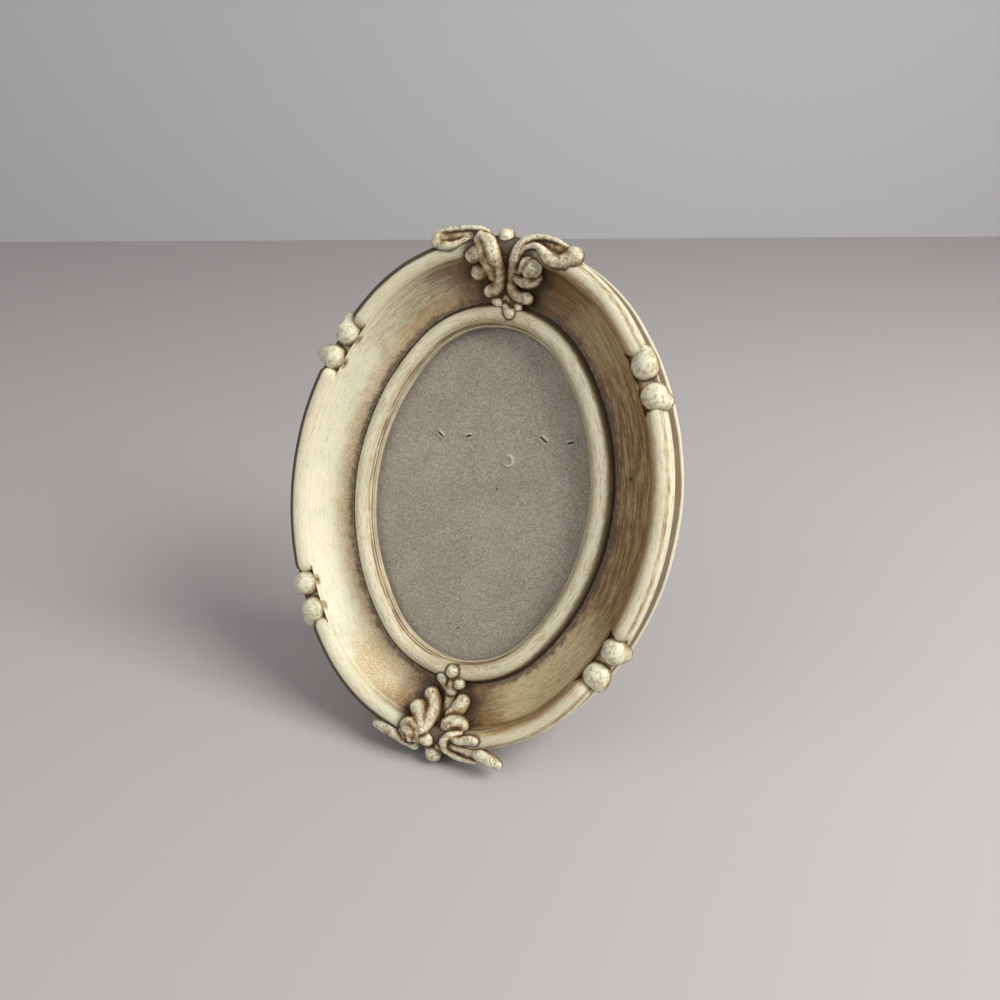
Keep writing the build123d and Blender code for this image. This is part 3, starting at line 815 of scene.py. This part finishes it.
crest = {
    "voxel": 0.19,
    "runs": [
        # stem, sunk between the two leaves
        [(0.2, -9.5, -5.4, 1.1), (0.5, -6.6, -5.4, 1.1), (0.6, -3.5, -3.8, 1.1), (0.8, -1.3, 0.0, 1.1),
         (0.8, 0.9, 0.7, 1.1)],
        # left scroll: its hollow, its upper ridge and its lower lip
        [(-13.2, 0.2, 1.0, 1.8), (-10.8, 0.7, 0.8, 1.6), (-8.0, 1.3, 0.9, 1.35), (-4.2, 1.6, 1.0, 1.1)],
        [(-13.3, 1.3, 1.5, 0.8), (-11.6, 1.9, 1.7, 0.7), (-8.9, 2.5, 1.9, 0.6), (-5.4, 2.7, 1.7, 0.65),
         (-3.2, 2.2, 1.4, 0.9), (-2.2, 1.0, 1.1, 0.9)],
        [(-13.5, -0.5, 1.6, 1.25), (-11.6, -1.0, 1.7, 1.1), (-9.4, -0.7, 1.9, 0.8), (-7.9, 0.2, 1.8, 0.6),
         (-6.8, 0.8, 1.6, 0.45)],
        # left leaf: its full body, its two lobes and its foot
        [(-3.9, 1.2, 2.0, 1.2), (-2.4, 0.3, 1.9, 1.7), (-1.3, -1.7, 1.3, 1.8), (-0.8, -3.9, -1.1, 1.6),
         (-0.9, -6.1, -3.1, 1.45), (-1.5, -7.7, -4.1, 1.45), (-2.9, -8.3, -4.4, 1.45)],
        [(-4.0, 0.5, 1.7, 1.5), (-3.2, -1.3, 1.2, 1.95), (-2.3, -3.3, -0.2, 1.8), (-1.7, -5.2, -2.2, 1.45)],
        [(-3.0, -1.2, 1.1, 1.9), (-4.5, -1.8, 1.0, 1.8), (-5.8, -2.3, 0.5, 1.65)],
        [(-2.4, -3.7, -0.8, 1.7), (-3.7, -4.3, -1.6, 1.6), (-5.1, -5.0, -2.3, 1.7)],
        # volute: outer ridge, floor, and the thick lip with its knobbed end
        [(1.6, -6.8, -4.2, 1.15), (1.8, -5.2, -3.3, 1.2), (2.6, -3.4, -1.5, 1.3), (3.5, -1.7, 0.8, 1.3),
         (4.4, -0.2, 1.7, 1.15), (5.7, 1.1, 1.9, 0.9), (7.8, 1.9, 1.7, 0.65), (10.4, 1.8, 1.5, 0.55),
         (12.8, 1.0, 1.2, 0.5), (14.4, 0.0, 1.0, 0.5)],
        [(3.6, -3.6, -1.6, 1.3), (4.4, -1.8, 0.1, 1.2), (5.5, -0.3, 0.9, 1.1), (8.0, 0.8, 0.7, 1.05),
         (10.6, 0.5, 0.3, 1.35), (13.4, -0.7, 0.4, 1.45)],
        [(4.6, -1.3, 1.6, 0.6), (5.5, -0.5, 2.1, 0.55), (6.6, -0.1, 2.4, 0.55), (8.0, 0.0, 2.5, 0.65),
         (9.3, -0.8, 2.3, 0.95), (10.6, -2.0, 2.0, 1.3), (12.6, -2.5, 1.8, 1.4), (14.4, -1.9, 1.6, 1.7),
         (15.6, -1.2, 1.5, 1.95)],
        # rosette of three petals
        [(6.6, -3.6, -0.5, 2.15), (7.0, -3.2, -0.2, 2.05)],
        [(4.7, -4.2, 0.0, 0.75), (5.4, -2.9, 0.9, 0.8), (6.7, -1.9, 1.1, 0.65)],
        [(5.9, -5.0, 0.0, 0.8), (6.8, -3.8, 1.0, 0.9), (7.6, -3.2, 1.0, 0.8)],
        [(7.7, -5.0, -0.4, 0.65), (8.4, -4.0, 0.2, 0.75), (8.3, -2.6, 0.5, 0.6)],
        # two crescents under it
        [(2.4, -4.7, -2.7, 1.1), (3.4, -5.6, -3.1, 1.2), (5.0, -6.1, -3.2, 1.3), (6.6, -5.9, -2.9, 1.25),
         (7.5, -5.2, -2.4, 1.1)],
        [(1.6, -6.4, -4.0, 1.2), (2.1, -7.9, -4.5, 1.2), (3.4, -9.0, -4.6, 1.3), (5.3, -9.1, -4.5, 1.35)],
        # cluster on the bead
        [(-1.4, -10.1, -5.2, 1.25), (-1.1, -10.4, -5.1, 1.25)],
        [(0.8, -11.2, -4.6, 0.8), (1.5, -12.0, -4.1, 1.0), (2.2, -12.5, -3.8, 1.2)],
        [(0.2, -8.8, -5.2, 0.9), (1.1, -9.5, -5.0, 0.8), (2.1, -10.4, -4.9, 0.75), (3.5, -11.2, -4.6, 0.95)],
        [(0.6, -9.9, -5.6, 0.9), (1.6, -11.2, -5.0, 0.8)],
        # crown ball
        [(0.8, 1.6, 0.3, 1.85), (0.8, 1.8, 0.3, 1.85)],
    ],
}
foot = {
    "voxel": 0.19,
    "runs": [
        # stem, sunk between the leaves, with a bud at its tip and a drop at its base
        [(0.2, 9.4, -5.2, 1.1), (0.4, 6.4, -5.2, 1.2), (0.7, 3.4, -3.5, 1.2), (0.8, 0.9, -0.6, 1.1),
         (0.6, -1.4, 0.0, 1.0)],
        [(0.9, 13.2, -3.4, 1.45), (0.8, 13.0, -3.4, 1.4)],
        [(1.1, 12.0, -4.3, 1.05), (0.9, 10.4, -4.6, 1.35), (0.7, 8.6, -4.8, 1.3)],
        [(0.5, -3.7, -0.1, 1.95), (0.5, -3.4, 0.1, 1.9)],
        # small leaves at the tip
        [(-1.5, 11.2, -4.1, 1.2), (-0.9, 10.0, -4.8, 1.15), (0.1, 8.9, -4.9, 1.1)],
        [(0.5, 11.6, -4.6, 0.9), (0.2, 10.4, -4.8, 0.9)],
        [(0.6, 8.4, -4.9, 1.0), (1.1, 9.5, -4.7, 1.1), (1.7, 10.4, -4.5, 1.2), (2.5, 10.6, -4.2, 1.35)],
        [(2.1, 12.1, -4.2, 0.8), (2.7, 11.4, -4.4, 0.8)],
        # left leaf: finger, lobe and body
        [(-3.3, 7.1, -4.0, 1.65), (-2.3, 5.6, -3.0, 1.75), (-1.7, 4.0, -1.4, 1.75), (-2.0, 2.3, 0.3, 1.8),
         (-2.2, 0.9, 1.3, 1.6)],
        [(-4.7, 4.6, -0.9, 1.85), (-3.7, 3.3, 0.1, 1.8), (-2.7, 1.8, 0.9, 1.8)],
        # left curl: a ball split by two slits
        [(-5.2, 0.6, 1.0, 2.0), (-4.3, 0.1, 1.1, 2.0)],
        [(-6.5, 1.0, 1.3, 1.05), (-5.3, 2.0, 1.5, 1.05), (-3.8, 1.7, 1.8, 1.05), (-2.9, 0.4, 2.0, 1.0),
         (-3.2, -1.1, 1.7, 0.95)],
        [(-6.5, -0.2, 1.5, 0.95), (-5.7, -1.1, 1.5, 0.9)],
        [(-4.8, 0.0, 2.2, 0.9), (-4.5, -1.3, 1.9, 0.85)],
        [(-2.4, -0.7, 1.3, 1.4), (-0.7, -0.7, 1.5, 1.5)],
        [(-12.7, -0.5, 0.6, 1.2), (-10.6, -0.9, 0.8, 1.4), (-8.4, -1.4, 0.8, 1.4), (-5.9, -2.3, 0.7, 1.3),
         (-3.8, -2.9, 0.4, 1.2)],
        # right leaf: finger and lobe
        [(3.9, 7.2, -4.0, 1.6), (3.5, 5.9, -3.2, 1.75), (2.6, 4.3, -2.1, 1.55)],
        [(2.1, 1.6, -0.2, 1.2), (2.7, 2.8, -0.5, 1.7), (4.0, 3.4, -0.7, 1.85), (5.4, 3.2, -0.8, 1.75),
         (6.1, 2.1, -0.4, 1.3)],
        # right curl: ridge, floor and bright arm
        [(6.1, 1.9, 0.9, 0.8), (5.2, 1.8, 1.5, 0.9), (4.0, 1.2, 1.8, 1.0), (3.1, -0.1, 1.8, 1.05),
         (3.4, -1.5, 1.4, 1.0), (4.8, -2.5, 0.9, 0.85), (7.3, -3.1, 0.6, 0.7), (9.9, -2.9, 0.4, 0.75)],
        [(1.7, -1.6, 0.5, 1.2), (1.9, 0.2, 0.6, 1.1)],
        [(2.4, -0.6, 0.7, 1.3), (5.4, -0.6, 0.8, 1.3), (8.2, -1.3, 0.4, 1.2), (10.2, -1.7, 0.3, 1.1)],
        [(4.8, 1.1, 1.8, 0.85), (6.4, 0.9, 2.0, 0.9), (8.0, 1.5, 2.1, 1.0), (9.6, 1.8, 2.1, 1.05)],
        [(9.6, -1.4, 0.5, 1.1), (11.2, -1.3, 0.9, 1.5), (13.0, -1.7, 0.9, 1.45), (14.8, -2.3, 0.6, 1.1)],
    ],
}


def addRod(points, middle):
    # A curve through the points, as thick as their radii say, with a ball at each end
    path = bpy.data.curves.new("rodPath", "CURVE")
    path.dimensions = "3D"
    path.bevel_depth = 1.0
    path.bevel_resolution = 5
    path.resolution_u = 6
    path.use_fill_caps = True
    spline = path.splines.new("BEZIER")
    spline.bezier_points.add(len(points) - 1)
    for knot, (x, y, z, radius) in zip(spline.bezier_points, points):
        knot.co = (x, middle + y, moulding["rimCentre"][1] + z)
        knot.radius = radius
        knot.handle_left_type = knot.handle_right_type = "AUTO"
    rod = bpy.data.objects.new("rodPath", path)
    bpy.context.collection.objects.link(rod)
    pick(rod)
    bpy.ops.object.convert(target="MESH")
    made = [bpy.context.active_object]
    for x, y, z, radius in (points[0], points[-1]):
        bpy.ops.mesh.primitive_ico_sphere_add(
            subdivisions=3, radius=radius, location=(x, middle + y, moulding["rimCentre"][1] + z)
        )
        made.append(bpy.context.active_object)
    return made


def carveOrnament(name, values, middle):
    made = []
    for run in values["runs"]:
        made += addRod(run, middle)
    pick(*made)
    bpy.ops.object.join()
    piece = newest(name)
    pick(piece)
    bpy.ops.object.transform_apply(location=True, rotation=True, scale=True)
    applyModifier(piece, "REMESH", mode="VOXEL", voxel_size=values["voxel"])
    applyModifier(piece, "SMOOTH", factor=0.5, iterations=3)
    roughen(piece, 1.3, 0.22, 2, name + "Waves")
    return piece


def storeLift(piece, base):
    # Height in mm of each point of the ornament above the moulding under it
    tree = KDTree(len(base.data.vertices))
    for vertex in base.data.vertices:
        tree.insert(vertex.co, vertex.index)
    tree.balance()
    values = []
    for vertex in piece.data.vertices:
        _, index, distance = tree.find(vertex.co)
        foundAt = base.data.vertices[index]
        above = (vertex.co - foundAt.co).dot(foundAt.normal)
        values.append(max(above, 0.0))
    storeValues(piece, "lift", values)


body = spinMoulding()
breakRimBead(body)
print("moulding spun:", len(body.data.polygons), "faces")

ornaments = [carveOrnament("crestSpray", crest, rimTop), carveOrnament("footSpray", foot, -rimTop)]
print("ornament carved:", [len(o.data.polygons) for o in ornaments])

knobs = []
for heightName, level in (("upper", 1), ("lower", -1)):
    for sideName, side in (("Left", -1), ("Right", 1)):
        for kind, kindName in enumerate(("Side", "End")):
            knobs.append(makeKnob(heightName + sideName + kindName + "Knob", kind, side, level))
print("knobs shaped")

roughen(body, moulding["waveSize"], moulding["waveStrength"], 2)
flattenFoot(body)
storeNearness(body, "near", ornaments)
storeNearness(body, "knobNear", knobs)
for piece in [body] + ornaments + knobs:
    storePaintMaps(piece)
    storeValues(piece, "hollow", hollowOf(piece) if piece in ornaments else [-0.3] * len(piece.data.vertices))
    if piece is not body:
        storeLift(piece, body)
    standUp(piece, *((mouldingPaint, 38) if piece is body else (ornamentPaint, 180)))
    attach(piece, "frame")
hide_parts("frame_moulding")
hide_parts("crest_spray")
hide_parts("foot_spray")
for piece in knobs:
    words = piece.name.replace("Left", "_left").replace("Right", "_right")
    words = words.replace("Side", "_side").replace("End", "_end").replace("Knob", "_knob")
    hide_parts(words)
print("painted pieces finished")


# Cloth tape over the hinge, and the ribbon that stops the leg: strips laid along a path

strips = {
    "hingeY": 6.0,
    "rear": -1.5,
    "openDegrees": 38.0,
    "tape": {"halfWidth": 18.9, "length": 3.0, "thickness": 0.2, "turnReach": 0.5},
    "ribbon": {
        "halfWidth": 2.5, "thickness": 0.25, "tab": 4.0, "sag": 0.7,
        "boardEnd": (-20.0, -0.02), "legEnd": (-15.41, -16.33),
    },
}


def makeStrip(name, path, halfWidth, thickness, columns, rows, side):
    # path is a list of (y, z); the strip is thickened away from it
    lengths = [0.0]
    for start, end in zip(path, path[1:]):
        lengths.append(lengths[-1] + math.dist(start, end))
    deselectAll()
    bpy.ops.mesh.primitive_grid_add(x_subdivisions=columns, y_subdivisions=rows, size=2)
    piece = newest(name)
    ys, zs = zip(*path)
    weave = []
    for vertex in piece.data.vertices:
        along = (vertex.co.y + 1) / 2 * lengths[-1]
        weave.append((vertex.co.x * halfWidth, along, 0.0))
        vertex.co = (vertex.co.x * halfWidth, np.interp(along, lengths, ys), np.interp(along, lengths, zs))
    storeValues(piece, "weave", weave, "FLOAT_VECTOR")
    cleanMesh(piece, 0.001)
    applyModifier(piece, "SOLIDIFY", thickness=thickness, offset=side)
    applyModifier(piece, "BEVEL", width=thickness * 0.3, segments=2, limit_method="ANGLE", angle_limit=1.0)
    return piece


def finishStrip(piece, material, nodeName):
    standUp(piece, material, 40)
    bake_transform(piece)
    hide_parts(nodeName)


openAngle = math.radians(strips["openDegrees"])
down = (-math.cos(openAngle), -math.sin(openAngle))
tapeValues = strips["tape"]
hinge = (strips["hingeY"], strips["rear"])
reach = tapeValues["length"]
tapePath = [(hinge[0] + reach, hinge[1] - 0.02)]
for step in range(7):
    turnedBy = openAngle * step / 6
    around = tapeValues["turnReach"] * (1 - step / 3)
    sunk = min(0.0, around) * math.sin(turnedBy)
    tapePath.append((hinge[0] + around * math.cos(turnedBy), hinge[1] - 0.02 + sunk))
tapePath[-1] = (hinge[0] + 0.5 * down[0], hinge[1] - 0.02 + 0.5 * down[1])
tapePath.append((hinge[0] + reach * down[0], hinge[1] - 0.02 + reach * down[1]))
hingeTape = makeStrip("hingeTape", tapePath, tapeValues["halfWidth"], tapeValues["thickness"], 48, 24, 1.0)
finishStrip(hingeTape, clothFinish, "hinge_tape")

ribbonValues = strips["ribbon"]
boardEnd, legEnd = ribbonValues["boardEnd"], ribbonValues["legEnd"]
gravity = (-math.cos(lean), -math.sin(lean))
ribbonPath = [(boardEnd[0] - ribbonValues["tab"], boardEnd[1])]
for step in range(21):
    share = step / 20
    drop = ribbonValues["sag"] * 4 * share * (1 - share)
    straight = [start + (end - start) * share for start, end in zip(boardEnd, legEnd)]
    ribbonPath.append(tuple(place + drop * pull for place, pull in zip(straight, gravity)))
ribbonPath.append(tuple(legEnd[i] + ribbonValues["tab"] * down[i] for i in range(2)))
stayRibbon = makeStrip(
    "stayRibbon", ribbonPath, ribbonValues["halfWidth"], ribbonValues["thickness"], 10, 90, 1.0
)
finishStrip(stayRibbon, satinFinish, "stay_ribbon")
print("tape and ribbon laid")


# Glass, set just clear of the torn marks in the board

glass = {"offset": 2.05, "back": 2.30, "front": 2.88, "sides": 128}


def makeGlassPane():
    deselectAll()
    bpy.ops.mesh.primitive_circle_add(vertices=glass["sides"], radius=1.0, fill_type="NGON")
    piece = newest("glassPane")
    for vertex in piece.data.vertices:
        angle = math.atan2(vertex.co.y, vertex.co.x)
        way = Vector((math.cos(angle), math.sin(angle)))
        near, far = 0.0, 60.0
        for _ in range(40):
            middle = (near + far) / 2
            if acrossFrom(*(way * middle)) < glass["offset"]:
                near = middle
            else:
                far = middle
        vertex.co = (*(way * near), glass["back"])
    editAll(piece)
    bpy.ops.mesh.extrude_region_move(TRANSFORM_OT_translate={"value": (0, 0, glass["front"] - glass["back"])})
    objectMode()
    cleanMesh(piece, 0.001)
    applyModifier(piece, "BEVEL", width=0.12, segments=2, limit_method="ANGLE", angle_limit=1.0)
    return piece


pane = makeGlassPane()
standUp(pane, glassFinish, 30)
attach(pane, "frame")
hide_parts("glass_pane")
print("glass set")


# Torn marks where the staples' points come up, and one dent: small raised patches of board

marks = {
    "front": 1.9,
    "lifted": 0.05,
    "slitHalfWidth": 0.26,
    "edgeDrop": -0.14,
    # x, y, half length of the slit, its turn in degrees, height of the torn lip
    "tears": ((-11.1, 11.6, 0.78, -35, 0.36), (-4.6, 12.05, 0.70, 20, 0.34), (12.0, 13.5, 1.0, -32, 0.38),
              (17.8, 13.7, 0.80, 22, 0.34)),
    "dent": (4.9, 8.1, 1.8, 0.33),
}


def makeTear(x, y, reach, degrees, lip):
    deselectAll()
    bpy.ops.mesh.primitive_grid_add(x_subdivisions=36, y_subdivisions=28, size=2)
    piece = newest("tornMark")
    pick(piece)
    bpy.ops.transform.resize(value=(reach * 2.0, reach * 1.4, 1))
    bpy.ops.object.transform_apply(location=False, rotation=False, scale=True)
    half = marks["slitHalfWidth"]
    points = coordinates(piece)
    storeValues(piece, "tear", [max(0.0, 1.0 - (x / (reach * 1.1))**2 - (y / half)**2) for x, y, _ in points])
    raiseVerts(piece, lip, lambda co: abs(co.x) < reach and half * 0.9 < co.y < half + 0.5 * reach)
    low, high = -half - 0.3 * reach, -half * 0.9
    raiseVerts(piece, lip * 0.5, lambda co: abs(co.x) < reach * 0.9 and low < co.y < high)
    applyModifier(piece, "SMOOTH", factor=0.5, iterations=2)
    roughen(piece, 0.35, 0.10, 2, "tornFibres")
    storeValues(piece, "lip", coordinates(piece)[:, 2])
    raiseVerts(piece, marks["edgeDrop"], lambda co: abs(co.x) > reach * 1.8 or abs(co.y) > reach * 1.2)
    turned = Matrix.Rotation(math.radians(degrees), 4, "Z")
    setTransform(piece, Matrix.Translation((x, y, marks["front"] + marks["lifted"])) @ turned)
    return piece


def makeDent(x, y, reach, lip):
    deselectAll()
    bpy.ops.mesh.primitive_grid_add(x_subdivisions=32, y_subdivisions=32, size=2 * reach)
    piece = newest("pressedDent")
    raiseVerts(piece, lip, lambda co: 0.45 * reach < co.xy.length < 0.75 * reach and co.x > -0.2 * reach)
    applyModifier(piece, "SMOOTH", factor=0.5, iterations=6)
    storeValues(piece, "tear", [0.0] * len(piece.data.vertices))
    storeValues(piece, "lip", coordinates(piece)[:, 2])
    raiseVerts(piece, marks["edgeDrop"], lambda co: co.xy.length > 0.85 * reach)
    setTransform(piece, Matrix.Translation((x, y, marks["front"] + marks["lifted"])))
    return piece


def makeTornBoard():
    # The board's own finish, with paler fibre on the torn lips and a painted highlight on the dent's raised
    # ridge, and painted shade, black, in the slits
    material = boardFinish.copy()
    material.name = "tornChipboard"
    making["tree"] = material.node_tree
    shader = material.node_tree.nodes["Principled BSDF"]
    making["colour"] = shader.inputs["Base Color"].links[0].from_socket
    lay(finishes["paleFibreAndHighlight"], 0.75, spread(attributeOf("lip"), 0.05, 0.18))
    lay((0.02, 0.014, 0.010), 0.95, spread(attributeOf("tear"), 0.02, 0.35))
    setInputs(shader, {"Base Color": making["colour"]})
    return material


patches = [makeTear(*tear) for tear in marks["tears"]] + [makeDent(*marks["dent"])]
pick(*patches)
bpy.ops.object.join()
boardMarks = newest("boardMarks")
standUp(boardMarks, makeTornBoard(), 60)
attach(boardMarks, "frame")
print("board marked")


# Stage and light

stageValues = {
    "floorColour": (0.46, 0.435, 0.415),
    "wallColour": (0.53, 0.515, 0.51),
    "wallDistance": 0.56,
    "turnDegrees": 21.5,
    "size": 6,
    "sky": (0.92, 0.94, 1.0, 1.0),
    "skyStrength": 0.42,
}


def plainMaterial(name, colour, roughness):
    material, shader = newMaterial(name)
    setInputs(shader, {"Base Color": (*colour, 1.0), "Roughness": roughness})
    return material


deselectAll()
bpy.ops.mesh.primitive_plane_add(size=stageValues["size"], location=(0, 0, 0))
floor = newest("paleFloor")
floor.data.materials.append(plainMaterial("paleFloor", stageValues["floorColour"], 0.7))
bpy.ops.mesh.primitive_plane_add(size=stageValues["size"], location=(0, 0, 0))
wall = newest("paleWall")
turn = math.radians(stageValues["turnDegrees"])
away = Vector((-math.sin(turn), math.cos(turn), 0)) * stageValues["wallDistance"]
upright = Matrix.Rotation(turn, 4, "Z") @ Matrix.Rotation(math.pi / 2, 4, "X")
wall.matrix_world = Matrix.Translation(away) @ upright
wall.data.materials.append(plainMaterial("paleWall", stageValues["wallColour"], 0.8))

lamps = {
    "key": {"location": (0.50, -0.05, 0.46), "size": 0.36, "watts": 5.1},
    "fill": {"location": (-0.40, -0.55, 0.50), "size": 0.60, "watts": 1.3},
}
for name, lamp in lamps.items():
    bpy.ops.object.light_add(type="AREA", location=lamp["location"])
    light = newest(name + "Lamp")
    light.data.energy = lamp["watts"]
    light.data.size = lamp["size"]
    aim = Vector((0, 0, 0.05)) - Vector(lamp["location"])
    light.rotation_euler = aim.to_track_quat("-Z", "Y").to_euler()

world = bpy.data.worlds.new("studioWorld")
world.use_nodes = True
sky = {"Color": stageValues["sky"], "Strength": stageValues["skyStrength"]}
setInputs(world.node_tree.nodes["Background"], sky)
bpy.context.scene.world = world
bpy.context.scene.view_settings.view_transform = "Standard"
print("stage set")
